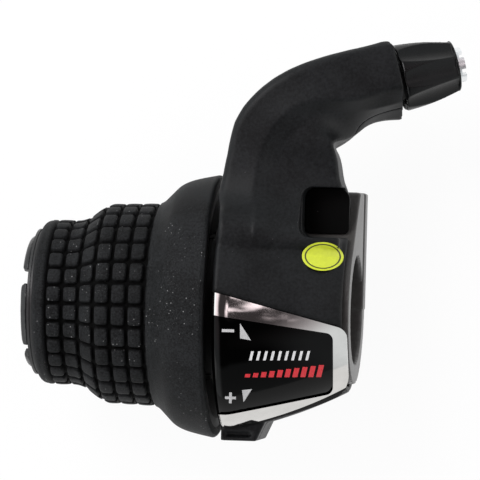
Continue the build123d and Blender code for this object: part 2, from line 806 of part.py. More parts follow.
# Spring behind the sleeve
coil_radius = (insert_radius + counterbore_radius) / 2
coil_start = flange_front + coil_wire + face_gap
coil_height = detent_back - flange_front - 2 * coil_wire - 2 * face_gap
with BuildPart() as adjuster_spring:
    with BuildLine() as coil:
        Helix(
            pitch=coil_height / coil_turns,
            height=coil_height,
            radius=coil_radius,
            center=outlet.offset(coil_start).origin,
            direction=outlet.z_dir,
        )
    with BuildSketch(Plane(origin=coil.line @ 0, x_dir=outlet.z_dir, z_dir=coil.line % 0)):
        Rectangle(2 * coil_wire, 2 * coil_wire)
    sweep(is_frenet=True)

# Hollow bolt of the adjuster, with a castellated tip and the casing's socket
knob_back = detent_front + face_gap
tip_end = knob_back + knob_length + tip_proud
with BuildPart() as adjuster_bolt:
    add(bore_along(outlet, thread_radius - face_gap, flange_back + seat_gap, knob_back + tip_step))
    add(bore_along(outlet, tip_radius, knob_back + tip_step, tip_end))
    add(bore_along(outlet, wire_radius, flange_back, tip_end), mode=Mode.SUBTRACT)
    add(bore_along(outlet, casing_radius, tip_end - casing_depth, tip_end), mode=Mode.SUBTRACT)
    with BuildSketch(outlet.offset(tip_end)):
        with PolarLocations(tip_radius, tip_notches):
            Rectangle(2 * (tip_radius - wire_radius), tip_notch_width)
    extrude(amount=-tip_notch_depth, mode=Mode.SUBTRACT)

# One flute of the knob, which deepens towards its tip
knob_base = (knob_base_radius, knob_back)
knob_rim = (knob_tip_radius, knob_back + knob_length)
with BuildPart() as flute_cutter:
    ends = zip((knob_base, knob_rim), knob_flute_depths, (-open_gap, open_gap))
    near, far = [
        outlet.from_local_coords(Vector(radius + knob_flute_radius - depth, 0, along + past))
        for (radius, along), depth, past in ends
    ]
    with BuildSketch(Plane(origin=near, z_dir=far - near)):
        Circle(knob_flute_radius)
    extrude(amount=(far - near).length)

# Fluted knob on the bolt
with BuildPart() as adjuster_knob:
    with BuildSketch(Plane(origin=outlet.origin, x_dir=outlet.x_dir, z_dir=-outlet.y_dir)) as knob_profile:
        with BuildLine():
            swell = ((knob_base[0] + knob_rim[0]) / 2 + knob_crown, (knob_base[1] + knob_rim[1]) / 2)
            ThreePointArc(knob_base, swell, knob_rim)
            Polyline(knob_rim, (0, knob_rim[1]), (0, knob_base[1]), knob_base)
        make_face()
        fillet([v for v in knob_profile.vertices() if v.X > thread_radius], knob_edge_round)
    knob_axis = Axis(outlet.origin, outlet.z_dir)
    revolve(axis=knob_axis)
    turns = [knob_flute_turn + 360 * flute / knob_flutes for flute in range(knob_flutes)]
    add([flute_cutter.part.rotate(knob_axis, turn) for turn in turns], mode=Mode.SUBTRACT)
    add(bore_along(outlet, thread_radius, knob_back, knob_back + knob_length), mode=Mode.SUBTRACT)
    add(
        bore_along(outlet, tip_radius + face_gap, knob_back + tip_step - face_gap, tip_end),
        mode=Mode.SUBTRACT,
    )

pieces = {
    "main_bracket": main_bracket,
    "clamp_bolt": clamp_bolt,
    "clamp_nut": clamp_nut,
    "disc_spring": disc_spring,
    "pressure_plate": pressure_plate,
    "friction_washer": friction_washer,
    "end_washer": end_washer,
    "grip_core": grip_core,
    "grip_rubber": grip_rubber,
    "cable_drum": cable_drum,
    "upper_cover": upper_cover,
    "lower_cover": lower_cover,
    "port_cover": port_cover,
    "cover_screws": cover_screws,
    "indicator_bezel": indicator_bezel,
    "indicator_window": indicator_window,
    "cable_guide": cable_guide,
    "adjuster_insert": adjuster_insert,
    "detent_sleeve": detent_sleeve,
    "adjuster_spring": adjuster_spring,
    "adjuster_bolt": adjuster_bolt,
    "adjuster_knob": adjuster_knob,
}
for name, piece in pieces.items():
    piece.part.label = name
    export_step(piece.part, f"parts/{name}.step")
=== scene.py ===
import json
import math

import bmesh
import bpy
import numpy
from mathutils import Matrix, Vector
from mathutils.bvhtree import BVHTree


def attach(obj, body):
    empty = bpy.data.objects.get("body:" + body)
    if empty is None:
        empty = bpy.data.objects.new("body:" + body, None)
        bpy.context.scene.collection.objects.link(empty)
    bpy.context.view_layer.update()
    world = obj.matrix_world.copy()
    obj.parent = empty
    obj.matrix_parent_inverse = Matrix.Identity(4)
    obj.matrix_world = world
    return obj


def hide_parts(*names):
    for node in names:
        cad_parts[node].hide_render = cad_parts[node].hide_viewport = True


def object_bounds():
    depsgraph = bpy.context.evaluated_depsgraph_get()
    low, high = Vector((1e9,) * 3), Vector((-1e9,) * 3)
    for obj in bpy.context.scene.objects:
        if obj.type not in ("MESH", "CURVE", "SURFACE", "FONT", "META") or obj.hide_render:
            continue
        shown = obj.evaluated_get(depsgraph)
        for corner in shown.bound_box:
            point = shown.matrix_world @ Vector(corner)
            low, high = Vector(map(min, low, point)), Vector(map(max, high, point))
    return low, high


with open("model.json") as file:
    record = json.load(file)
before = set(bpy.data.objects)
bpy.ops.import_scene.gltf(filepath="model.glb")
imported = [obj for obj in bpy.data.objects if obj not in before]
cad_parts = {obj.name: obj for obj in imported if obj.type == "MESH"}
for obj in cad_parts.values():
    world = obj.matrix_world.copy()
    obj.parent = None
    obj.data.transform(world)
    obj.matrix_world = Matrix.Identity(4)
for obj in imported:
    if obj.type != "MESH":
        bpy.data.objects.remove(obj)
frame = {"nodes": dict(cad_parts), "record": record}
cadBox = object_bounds()
nodes = frame["nodes"]
mm = 0.001  # sizes below are in millimetres, unless a note says otherwise
print("frame loaded:", len(nodes), "pieces")


class Socket:  # an output that takes part in Python sums, in a shader or a geometry tree
    def __init__(self, tree, socket):
        self.tree = tree
        self.socket = socket

    def __add__(self, other):
        return self.tree.maths("ADD", self, other)

    def __radd__(self, other):
        return self.tree.maths("ADD", other, self)

    def __sub__(self, other):
        return self.tree.maths("SUBTRACT", self, other)

    def __rsub__(self, other):
        return self.tree.maths("SUBTRACT", other, self)

    def __mul__(self, other):
        return self.tree.maths("MULTIPLY", self, other)

    def __rmul__(self, other):
        return self.tree.maths("MULTIPLY", other, self)

    def __truediv__(self, other):
        return self.tree.maths("DIVIDE", self, other)

    def __rtruediv__(self, other):
        return self.tree.maths("DIVIDE", other, self)

    def __pow__(self, other):
        return self.tree.maths("POWER", self, other)

    def __mod__(self, other):
        return self.tree.maths("FLOORED_MODULO", self, other)

    def __abs__(self):
        return self.tree.maths("ABSOLUTE", self)


class Tree:
    def __init__(self, nodeTree):
        self.nodeTree = nodeTree

    # one node: its type, its settings, then the values or links of its sockets
    def node(self, kind, settings=None, sockets=None, out=0):
        made = self.nodeTree.nodes.new(kind)
        for key, value in (settings or {}).items():
            setattr(made, key, value)
        for key, value in (sockets or {}).items():
            if isinstance(value, Socket):
                self.nodeTree.links.new(value.socket, made.inputs[key])
            else:
                made.inputs[key].default_value = value
        return Socket(self, made.outputs[out]) if made.outputs else None

    def maths(self, operation, first, second=0.0):
        return self.node("ShaderNodeMath", {"operation": operation}, {0: first, 1: second})

    def least(self, first, second):
        return self.maths("MINIMUM", first, second)

    def most(self, first, second):
        return self.maths("MAXIMUM", first, second)

    def ease(self, value, low, high, start=0.0, end=1.0):  # soft step between two values
        return self.node(
            "ShaderNodeMapRange",
            {"interpolation_type": "SMOOTHSTEP"},
            {"Value": value, "From Min": low, "From Max": high, "To Min": start, "To Max": end},
        )

    def tint(self, factor, first, second):  # colour between two colours
        sockets = {0: factor}
        for slot, colour in ((6, first), (7, second)):
            sockets[slot] = colour if isinstance(colour, Socket) else (*colour, 1.0)
        return self.node("ShaderNodeMix", {"data_type": "RGBA"}, sockets, out=2)

    def parts(self, vector):
        split = self.node("ShaderNodeSeparateXYZ", None, {0: vector})
        return [Socket(self, output) for output in split.socket.node.outputs]


class Finish(Tree):
    def __init__(self, name):
        self.material = bpy.data.materials.new(name)
        self.material.use_nodes = True
        super().__init__(self.material.node_tree)
        self.nodeTree.nodes.clear()
        self.place = self.node("ShaderNodeTexCoord", out="Object")

    def noise(self, scale, detail, roughness=0.5, place=None):  # scale in repeats per millimetre
        return self.node("ShaderNodeTexNoise", None, {
            "Vector": place or self.place, "Scale": scale / mm, "Detail": detail, "Roughness": roughness,
        })

    def cells(self, scale, seed):  # distance to the nearest of scattered points
        moved = self.node(
            "ShaderNodeVectorMath", {"operation": "ADD"}, {0: self.place, 1: (seed, seed, seed)}
        )
        return self.node(
            "ShaderNodeTexVoronoi", {"feature": "F1"}, {"Vector": moved, "Scale": scale / mm}
        )

    def bump(self, height, depth, strength, below=None):
        sockets = {"Height": height, "Distance": depth * mm, "Strength": strength}
        if below:
            sockets["Normal"] = below
        return self.node("ShaderNodeBump", None, sockets)

    def surface(self, **sockets):
        named = {key.replace("_", " "): value for key, value in sockets.items()}
        shader = self.node("ShaderNodeBsdfPrincipled", None, named)
        self.node("ShaderNodeOutputMaterial", None, {"Surface": shader})
        return self.material


def grey(level, warm=0.0):  # linear grey, a little warm or cool
    return (level * (1 + warm), level, level * (1 - warm))


def scaled(colour, share):
    return [value * share for value in colour]


def mixed(first, second, shares):  # two patterns added by their shares
    return first * shares[0] + second * shares[1]


# in the finishes, a noise is (scale, detail, roughness), cells are (scale, seed), a bump is (depth, strength)

# rubber of the grip: charcoal, dusty, with the fine tooth of a blasted mould, and painted shade in its
# grooves
rubber = {
    # the groove colour is painted shade, darker than the rubber's own tone
    "dark": grey(0.0016, -0.06), "light": grey(0.0150, -0.06), "groove": grey(0.0006), "dust": grey(0.24),
    "rough": (0.46, 0.66), "grooveRough": 0.3, "shine": 0.09,
    "cloud": (0.16, 4.0, 0.6), "tooth": (7.0, 2.0, 0.7), "mottle": (2.4, 3.0, 0.7),
    "lightShares": (0.5, 1.0), "lightEdge": (0.55, 0.95), "roughShares": (0.4, 0.6), "roughEdge": (0.3, 0.7),
    "patch": (0.10, 2.0), "patchEdge": (0.46, 0.60),
    "specks": (1.0, 0.0), "crumbs": (2.6, 0.02), "speckEdge": (0.13, 0.07), "crumbShare": 0.5,
    "mottleBump": (0.07, 0.7), "toothBump": (0.06, 0.7),
}


def rubberFinish():
    finish = Finish("charcoalRubber")
    cloud, tooth, mottle = (finish.noise(*rubber[key]) for key in ("cloud", "tooth", "mottle"))
    groove = finish.node("ShaderNodeAttribute", {"attribute_name": "groove"}, out="Fac")
    patch = finish.ease(finish.noise(*rubber["patch"]), *rubber["patchEdge"]) * (1 - groove)
    specks = finish.ease(finish.cells(*rubber["specks"]), *rubber["speckEdge"]) * patch
    crumbs = finish.ease(finish.cells(*rubber["crumbs"]), *rubber["speckEdge"]) * patch * rubber["crumbShare"]
    lit = finish.ease(mixed(cloud, mottle, rubber["lightShares"]), *rubber["lightEdge"])
    # the grooves take a near black: painted shade in the grooves between blocks
    shaded = finish.tint(groove, finish.tint(lit, rubber["dark"], rubber["light"]), rubber["groove"])
    colour = finish.tint(finish.most(specks, crumbs), shaded, rubber["dust"])
    worn = finish.ease(mixed(cloud, mottle, rubber["roughShares"]), *rubber["roughEdge"], *rubber["rough"])
    roughness = worn + groove * rubber["grooveRough"]
    normal = finish.bump(mottle, *rubber["mottleBump"], finish.bump(tooth, *rubber["toothBump"]))
    return finish.surface(
        Base_Color=colour, Roughness=roughness, Normal=normal, Specular_IOR_Level=rubber["shine"]
    )


# satin moulded covers: near black, spark-eroded grain, a few dust specks
cover = {
    "dark": grey(0.0035, -0.06), "light": grey(0.0135, -0.07), "dust": grey(0.3), "rough": (0.40, 0.54),
    "cloud": (0.09, 3.0, 0.55), "pits": (9.0, 2.0, 0.6), "mottle": (1.7, 3.0, 0.7), "pitStrength": 0.5,
    "lightShares": (0.6, 0.7), "lightEdge": (0.4, 0.9), "roughShares": (0.6, 0.6), "roughEdge": (0.35, 0.85),
    "patch": (0.13, 2.0), "patchEdge": (0.58, 0.68), "specks": (1.1, 0.05), "speckEdge": (0.055, 0.03),
}


def coverFinish(name, dark, light, rough, grain, shine=0.5, fade=None):
    finish = Finish(name)
    cloud, pits, mottle = (finish.noise(*cover[key]) for key in ("cloud", "pits", "mottle"))
    patch = finish.ease(finish.noise(*cover["patch"]), *cover["patchEdge"])
    specks = finish.ease(finish.cells(*cover["specks"]), *cover["speckEdge"]) * patch
    lit = finish.ease(mixed(cloud, mottle, cover["lightShares"]), *cover["lightEdge"])
    base = finish.tint(lit, dark, light)
    if fade:  # darker towards the grip's end
        base = finish.tint(finish.ease(finish.parts(finish.place)[0], *fade), cover["dark"], base)
    colour = finish.tint(specks, base, cover["dust"])
    roughness = finish.ease(mixed(cloud, mottle, cover["roughShares"]), *cover["roughEdge"], *rough)
    normal = finish.bump(pits, grain, cover["pitStrength"])
    return finish.surface(Base_Color=colour, Roughness=roughness, Normal=normal, Specular_IOR_Level=shine)


# bright plating: faint polishing lines and a soft haze
plating = {
    "haze": (0.25, 3.0, 0.6), "lines": (6.0, 2.0, 0.6), "stretch": (0.05, 1.0, 1.0), "turn": (0, 0, 0.3),
    "dull": 0.9, "dullEdge": (0.3, 0.8), "roughShares": (1.0, 0.4), "roughEdge": (0.4, 1.0),
    "lineBump": (0.004, 0.25),
}


def platedFinish(name, colour, rough):
    finish = Finish(name)
    haze = finish.noise(*plating["haze"])
    stretched = finish.node(
        "ShaderNodeMapping", None,
        {"Vector": finish.place, "Scale": plating["stretch"], "Rotation": plating["turn"]},
    )
    lines = finish.noise(*plating["lines"], stretched)
    shade = finish.tint(finish.ease(haze, *plating["dullEdge"]), colour, scaled(colour, plating["dull"]))
    roughness = finish.ease(mixed(haze, lines, plating["roughShares"]), *plating["roughEdge"], *rough)
    normal = finish.bump(lines, *plating["lineBump"])
    return finish.surface(Base_Color=shade, Roughness=roughness, Normal=normal, Metallic=1.0)


# gloss black plastic: window and knob
gloss = {
    "cloud": (0.2, 3.0, 0.6), "wipe": (1.8, 3.0, 0.7), "pale": 1.35, "paleEdge": (0.35, 0.75),
    "roughShares": (1.0, 0.35), "roughEdge": (0.4, 0.95), "wipeBump": (0.003, 0.3),
}


def glossFinish(name, colour, rough, shine):
    finish = Finish(name)
    cloud, wipe = finish.noise(*gloss["cloud"]), finish.noise(*gloss["wipe"])
    base = finish.tint(finish.ease(cloud, *gloss["paleEdge"]), colour, scaled(colour, gloss["pale"]))
    roughness = finish.ease(mixed(cloud, wipe, gloss["roughShares"]), *gloss["roughEdge"], *rough)
    normal = finish.bump(wipe, *gloss["wipeBump"])
    return finish.surface(Base_Color=base, Roughness=roughness, Normal=normal, Specular_IOR_Level=shine)


# flat print: signs, ticks, bars and sticker
ink = {
    "cloud": (0.8, 3.0, 0.6), "thin": 0.9, "thinEdge": (0.3, 0.75),
    "roughEdge": (0.3, 0.7), "roughSpread": 0.06,
}


def printFinish(name, colour, rough=0.45):
    finish = Finish(name)
    cloud = finish.noise(*ink["cloud"])
    base = finish.tint(finish.ease(cloud, *ink["thinEdge"]), scaled(colour, ink["thin"]), colour)
    spread = ink["roughSpread"]
    roughness = finish.ease(cloud, *ink["roughEdge"], rough - spread, rough + spread)
    return finish.surface(Base_Color=base, Roughness=roughness)


# one finish for each of the record's slots
finishes = {
    "grip_rubber": rubberFinish(),
    "cover_plastic": coverFinish(
        "satinCover", cover["dark"], cover["light"], cover["rough"], grain=0.02, shine=0.14
    ),
    # the plate at the floor of the pocket is painted darker than the covers: painted shade of the pocket
    "port_plastic": coverFinish(
        "portPlate", grey(0.0004), grey(0.0008), rough=(0.5, 0.6), grain=0.015, shine=0.05
    ),
    "bracket_plastic": coverFinish(
        "bracketNylon", grey(0.037, 0.05), grey(0.055, 0.05), rough=(0.3, 0.4), grain=0.02, shine=0.4,
        fade=(-60 * mm, -20 * mm),
    ),
    "core_plastic": coverFinish("corePlastic", grey(0.008), grey(0.014), rough=(0.38, 0.5), grain=0.02),
    "washer_plastic": coverFinish(
        "washerPlastic", grey(0.42, 0.06), grey(0.52, 0.06), rough=(0.4, 0.5), grain=0.02
    ),
    "bright_trim": platedFinish("brightTrim", (0.64, 0.63, 0.61), rough=(0.05, 0.12)),
    "adjuster_metal": platedFinish("turnedTip", (0.88, 0.90, 0.91), rough=(0.24, 0.36)),
    "screw_steel": platedFinish("zincScrew", (0.50, 0.50, 0.51), rough=(0.25, 0.4)),
    "spring_steel": platedFinish("springSteel", (0.55, 0.55, 0.56), rough=(0.2, 0.35)),
    "insert_brass": platedFinish("turnedBrass", (0.72, 0.53, 0.25), rough=(0.2, 0.35)),
    "window_gloss": glossFinish("windowGloss", grey(0.0003), rough=(0.05, 0.10), shine=0.12),
    "knob_plastic": glossFinish("knobGloss", grey(0.0020, -0.06), rough=(0.22, 0.32), shine=0.22),
}
slotOf = {part["node"]: part["material_slot"] for part in frame["record"]["subparts"]}


def dress(obj, finish):
    obj.data.materials.clear()
    obj.data.materials.append(finish)


for name, node in nodes.items():
    dress(node, finishes[slotOf[name]])
print("finishes:", len(finishes))


def settle(obj, body, slot, *stoodFor):  # a finished piece rides on its body and stands for its nodes
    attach(obj, body)
    if stoodFor:
        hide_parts(*stoodFor)
    return obj


def newPiece(name, mesh, finish):
    obj = bpy.data.objects.new(name, mesh)
    bpy.context.scene.collection.objects.link(obj)
    dress(obj, finish)
    return obj


def keepPlain(obj):  # what the modifiers make of an object becomes its own mesh
    depsgraph = bpy.context.evaluated_depsgraph_get()
    old = obj.data
    obj.data = bpy.data.meshes.new_from_object(obj.evaluated_get(depsgraph), depsgraph=depsgraph)
    obj.modifiers.clear()
    bpy.data.meshes.remove(old)


def soften(value, low, high):  # smooth step from 0 to 1
    share = min(max((value - low) / (high - low), 0.0), 1.0)
    return share * share * (3 - 2 * share)


# geometry tree with named sizes
class Shape(Tree):
    def __init__(self, name, sizes):
        group = bpy.data.node_groups.new(name, "GeometryNodeTree")
        super().__init__(group)
        group.interface.new_socket("Geometry", in_out="INPUT", socket_type="NodeSocketGeometry")
        self.values = {}
        for label, value in sizes.items():
            kind = "NodeSocketInt" if isinstance(value, int) else "NodeSocketFloat"
            made = group.interface.new_socket(label, in_out="INPUT", socket_type=kind)
            made.default_value = value
            self.values[made.identifier] = value
        group.interface.new_socket("Geometry", in_out="OUTPUT", socket_type="NodeSocketGeometry")
        entry = group.nodes.new("NodeGroupInput")
        self.entry = {output.name: Socket(self, output) for output in entry.outputs if output.name}

    def end(self, geometry, finish):
        real = self.node("GeometryNodeRealizeInstances", None, {"Geometry": geometry})
        done = self.node("GeometryNodeSetMaterial", None, {"Geometry": real, "Material": finish})
        out = self.nodeTree.nodes.new("NodeGroupOutput")
        self.nodeTree.links.new(done.socket, out.inputs[0])

    def run(self, obj):
        modifier = obj.modifiers.new(self.nodeTree.name, "NODES")
        modifier.node_group = self.nodeTree
        for identifier, value in self.values.items():
            modifier[identifier] = value
        keepPlain(obj)


# grip rubber: a profile turned round the bar, with rounded blocks pressed out of it
grip = {
    "collarRight": -28.4, "collarLeft": -41.4, "collarRadius": 27.1, "collarEdge": 0.7,
    "collarPoints": [
        (0.0, 0.0), (0.11, 0.10), (0.24, 0.35), (0.38, 0.62), (0.52, 0.77), (0.72, 0.885), (1.0, 1.0),
    ],
    "columns": 6, "rows": 28, "pitch": 3.5, "slope": (-57.8, -50.3),
    "narrow": 17.0, "wide": 20.6, "end": 20.9, "thick": 2.1,
    "lipLeft": -65.3, "lipRadius": 16.9, "lipRound": 1.7, "lipMargins": (0.95, 0.7, 0.45),
    "grooveWidth": 0.70, "grooveDepth": 1.0, "corner": 0.65, "crown": 0.12,
    "wall": 0.24, "wallRun": (-0.6, 0.5), "treadMargin": 0.4, "pressAbove": 16.5, "weld": 0.01,
    "samplesPerBlock": 16, "gather": 0.72,
    "lipSteps": 8, "collarSteps": 36, "edgeSteps": 6, "innerSteps": 5,
}
treadLeft = grip["collarLeft"] - grip["columns"] * grip["pitch"]


def gather(share):  # samples crowd towards both ends of a block
    return share - grip["gather"] * math.sin(math.tau * share) / math.tau


def quarterTurn(steps):  # cosine and sine over a quarter of a circle
    turns = [math.pi / 2 * step / steps for step in range(steps + 1)]
    return [(math.cos(turn), math.sin(turn)) for turn in turns]


# smooth curve through the collar's points, with each point's slope from its neighbours
def collarCurve(share):
    points = grip["collarPoints"]
    last = len(points) - 1
    slopes = []
    for i in range(last + 1):
        (x0, y0), (x1, y1) = points[max(i - 1, 0)], points[min(i + 1, last)]
        slopes.append((y1 - y0) / (x1 - x0))
    i = max(k for k in range(last) if points[k][0] <= share)
    (x0, y0), (x1, y1) = points[i], points[i + 1]
    run = x1 - x0
    t = (share - x0) / run
    start = (1 + 2 * t) * (1 - t) ** 2 * y0 + t * (1 - t) ** 2 * run * slopes[i]
    return start + t * t * (3 - 2 * t) * y1 - t * t * (1 - t) * run * slopes[i + 1]


def treadRadius(x):
    slopeLeft, slopeRight = grip["slope"]
    if x < slopeRight:
        return grip["narrow"] + (grip["wide"] - grip["narrow"]) * soften(x, slopeLeft, slopeRight)
    share = (x - slopeRight) / (grip["collarLeft"] - slopeRight)
    return grip["wide"] + (grip["end"] - grip["wide"]) * share


def gripProfile():
    bend, edge, thick = grip["lipRound"], grip["collarEdge"], grip["thick"]
    left, right = grip["collarLeft"], grip["collarRight"]
    rise = grip["collarRadius"] - grip["end"]
    outer = [
        (grip["lipLeft"] + bend - bend * cosine, grip["lipRadius"] - bend + bend * sine)
        for cosine, sine in quarterTurn(grip["lipSteps"])
    ]
    for margin in grip["lipMargins"]:  # plain lip, up to the first groove
        outer.append((treadLeft - margin, grip["narrow"]))
    for column in range(grip["columns"]):
        for step in range(grip["samplesPerBlock"]):
            x = treadLeft + grip["pitch"] * (column + gather(step / grip["samplesPerBlock"]))
            outer.append((x, treadRadius(x)))
    for step in range(grip["collarSteps"] + 1):
        share = step / grip["collarSteps"]
        outer.append((left + share * (right - left - edge), grip["end"] + rise * collarCurve(share)))
    outer += [
        (right - edge + edge * sine, grip["collarRadius"] - edge + edge * cosine)
        for cosine, sine in quarterTurn(grip["edgeSteps"])[1:]
    ]
    inner = [(right, grip["collarRadius"] - thick)]
    for step in reversed(range(grip["innerSteps"])):
        share = step / grip["innerSteps"]
        inner.append((left + share * (right - left), grip["end"] - thick + rise * collarCurve(share)))
    slopeLeft, slopeRight = grip["slope"]
    inner += [(slopeRight, grip["wide"] - thick), (slopeLeft, grip["narrow"] - thick)]
    inner.append((grip["lipLeft"], grip["narrow"] - thick))
    return outer + inner


def gripTree(along):
    shape = Shape("treadedGrip", {
        "Around": grip["rows"] * grip["samplesPerBlock"], "Along": along, "Rows": grip["rows"],
        "Tread Left": treadLeft * mm, "Tread Right": grip["collarLeft"] * mm,
        "Tread Margin": grip["treadMargin"] * mm, "Press Above": grip["pressAbove"] * mm,
        "Pitch": grip["pitch"] * mm, "Gather": grip["gather"] / math.tau,
        "Groove Width": grip["grooveWidth"] * mm, "Groove Depth": grip["grooveDepth"] * mm,
        "Corner": grip["corner"] * mm, "Crown": grip["crown"] * mm, "Wall": grip["wall"] * mm,
        "Weld": grip["weld"] * mm,
    })
    sizes = shape.entry
    across = sizes["Around"] + 1
    sheet = shape.node(
        "GeometryNodeMeshGrid", None,
        {"Size X": 1.0, "Size Y": 1.0, "Vertices X": sizes["Along"], "Vertices Y": across},
    )
    index = shape.node("GeometryNodeInputIndex")
    line = shape.maths("FLOOR", (index + 0.5) / across)
    turn = (index - line * across) / sizes["Around"]  # 0 to 1 round the grip
    profile = shape.node("GeometryNodeSampleIndex", {"data_type": "FLOAT_VECTOR", "domain": "POINT"}, {
        "Geometry": sizes["Geometry"], "Value": shape.node("GeometryNodeInputPosition"),
        "Index": line % (sizes["Along"] - 1),
    })
    x, _, radius = shape.parts(profile)
    # samples crowd towards the grooves between rows
    rowPlace = turn * sizes["Rows"]
    share = rowPlace % 1.0
    gathered = share - shape.maths("SINE", share * math.tau) * sizes["Gather"]
    angle = (rowPlace - share + gathered) * math.tau / sizes["Rows"]
    # distance inside or outside the nearest block, as a rounded rectangle on the surface
    halfLong = (sizes["Pitch"] - sizes["Groove Width"]) * 0.5
    halfRound = (radius * math.tau / sizes["Rows"] - sizes["Groove Width"]) * 0.5
    fromLong = abs(((x - sizes["Tread Left"]) % sizes["Pitch"]) - sizes["Pitch"] * 0.5)
    fromRound = abs(gathered - 0.5) * radius * math.tau / sizes["Rows"]
    overLong = shape.most(fromLong - halfLong + sizes["Corner"], 0.0)
    overRound = shape.most(fromRound - halfRound + sizes["Corner"], 0.0)
    outside = shape.maths("SQRT", overLong * overLong + overRound * overRound) - sizes["Corner"]
    groove = shape.ease(outside, *(sizes["Wall"] * part for part in grip["wallRun"]))
    pillow = (1 - (fromLong / halfLong) ** 2.0) * (1 - (fromRound / halfRound) ** 2.0)
    # only the outside of the tread is pressed
    inTread = shape.maths("GREATER_THAN", x, sizes["Tread Left"] - sizes["Tread Margin"])
    beforeCollar = shape.maths("LESS_THAN", x, sizes["Tread Right"] + sizes["Tread Margin"])
    onTread = inTread * beforeCollar * shape.maths("GREATER_THAN", radius, sizes["Press Above"])
    pressed = radius + onTread * (shape.most(pillow, 0.0) * sizes["Crown"] - groove * sizes["Groove Depth"])
    upward, sideways = shape.maths("COSINE", angle), shape.maths("SINE", angle)
    placed = shape.node("ShaderNodeCombineXYZ", None, {0: x, 1: pressed * sideways, 2: pressed * upward})
    turned = shape.node("GeometryNodeSetPosition", None, {"Geometry": sheet, "Position": placed})
    # the groove mask is stored for the rubber finish, which paints shade into the grooves
    marked = shape.node(
        "GeometryNodeStoreNamedAttribute", {"data_type": "FLOAT", "domain": "POINT"},
        {"Geometry": turned, "Name": "groove", "Value": groove * onTread},
    )
    closed = shape.node("GeometryNodeMergeByDistance", None, {"Geometry": marked, "Distance": sizes["Weld"]})
    smooth = shape.node("GeometryNodeSetShadeSmooth", None, {"Geometry": closed, "Shade Smooth": True})
    shape.end(smooth, finishes["grip_rubber"])
    return shape


def makeGrip():
    profile = gripProfile()
    mesh = bpy.data.meshes.new("gripProfile")
    corners = [(x * mm, 0.0, radius * mm) for x, radius in profile]
    mesh.from_pydata(corners, [(i, i + 1) for i in range(len(profile) - 1)], [])
    obj = newPiece("treadedGrip", mesh, finishes["grip_rubber"])
    gripTree(len(profile) + 1).run(obj)
    shell = bmesh.new()
    shell.from_mesh(obj.data)
    bmesh.ops.recalc_face_normals(shell, faces=shell.faces[:])
    shell.to_mesh(obj.data)
    shell.free()
    return settle(obj, "grip", "grip_rubber", "grip_rubber")


treaded = makeGrip()
print("grip:", len(treaded.data.polygons), "faces")


# camera: the rider's eye, tilted inboard, with away and clip in metres
eye = {
    "tilt": 7.5, "roll": 1.5, "away": 1.0, "aim": (-24.59, 13.83, 0.0), "across": 99.17,
    "sensor": 36.0, "clip": (0.05, 20.0),
}
upright = Vector((0, 1, 0))


def makeCamera():
    tilt, roll = math.radians(eye["tilt"]), math.radians(eye["roll"])
    side = Vector((math.cos(tilt), 0, -math.sin(tilt)))
    right = side * math.cos(roll) + upright * math.sin(roll)
    above = upright * math.cos(roll) - side * math.sin(roll)
    back = right.cross(above)
    data = bpy.data.cameras.new("riderEye")
    data.sensor_width = eye["sensor"]
    data.lens = eye["sensor"] * eye["away"] / (eye["across"] * mm)
    data.clip_start, data.clip_end = eye["clip"]
    camera = bpy.data.objects.new("riderEye", data)
    turned = Matrix((right, above, back)).transposed().to_4x4()
    camera.matrix_world = Matrix.Translation(Vector(eye["aim"]) * mm + back * eye["away"]) @ turned
    bpy.context.scene.collection.objects.link(camera)
    bpy.context.scene.camera = camera
    return side, back, camera.matrix_world.translation


sightSide, sightBack, eyePlace = makeCamera()
print("camera:", round(bpy.context.scene.camera.data.lens), "mm lens")


# moulded pieces: the frame's own solids, with their edges rounded as a mould leaves them
moulded = {
    "upper_cover": {
        "piece": "mouldedUpperCover", "body": "bracket", "voxel": 0.31, "passes": 5, "slim": True,
    },
    "lower_cover": {
        "piece": "mouldedLowerCover", "body": "bracket", "voxel": 0.30, "passes": 6, "slim": True,
        "draft": 0.2, "draftTop": 3.0, "draftAlong": ((21.5, 24.5), (31.0, 35.5)),
        "draftAcross": (-10.0, -6.0),
    },
    "main_bracket": {"piece": "mouldedBracket", "body": "bracket", "voxel": 0.42, "passes": 4},
    "port_cover": {"piece": "mouldedPortPlate", "body": "bracket", "voxel": 0.15, "passes": 8},
    "adjuster_knob": {
        "piece": "mouldedKnob", "body": "adjuster", "voxel": 0.14, "passes": 8,
        "flare": 0.42, "flareRun": (0.0, 1.0), "flareFrom": (3.9, 4.5),
        "skirt": 0.7, "skirtRun": (1.0, 7.0), "skirtFrom": (5.3, 5.7),
    },
}
mergeGap = 0.001  # corners of a node's triangles that are nearer than this are one
passShare = 0.5  # how far one smoothing pass takes a corner towards its neighbours


# swan neck: both covers draw in towards the middle of the bend. By angle in degrees, reach is how far out
# the skin lies, deep how far under it the move goes, and pull how far it moves. The web's edge moves in too
neck = {
    "middle": (-5.05, 25.7),
    "angle": [60, 66, 70, 74, 86, 94, 102, 110, 118, 126, 134, 142, 150, 158, 166, 176, 188],
    "reach": [
        31.0, 32.0, 32.4, 31.0, 28.5, 27.8, 27.6, 27.5, 27.3, 26.8, 26.1, 25.4, 24.7, 24.3, 24.0, 24.0, 24.0,
    ],
    "deep": [2.2, 2.2, 2.2, 2.2, 2.6, 4.0, 7.0, 11.0, 11.0, 11.0, 11.0, 11.0, 11.0, 11.0, 11.0, 11.0, 11.0],
    "pull": [0.0, 0.6, 0.9, 0.6, 0.62, 0.93, 1.34, 1.65, 1.76, 1.6, 1.19, 0.67, 0.41, 0.67, 0.88, 0.75, 0.0],
    "whole": 0.1,  # share of the depth, next to the skin, that moves all the way
    "web": 0.9, "webAcross": (-8.0, -3.0), "webNear": (22.5, 27.0), "webFar": (27.0, 34.0),
}


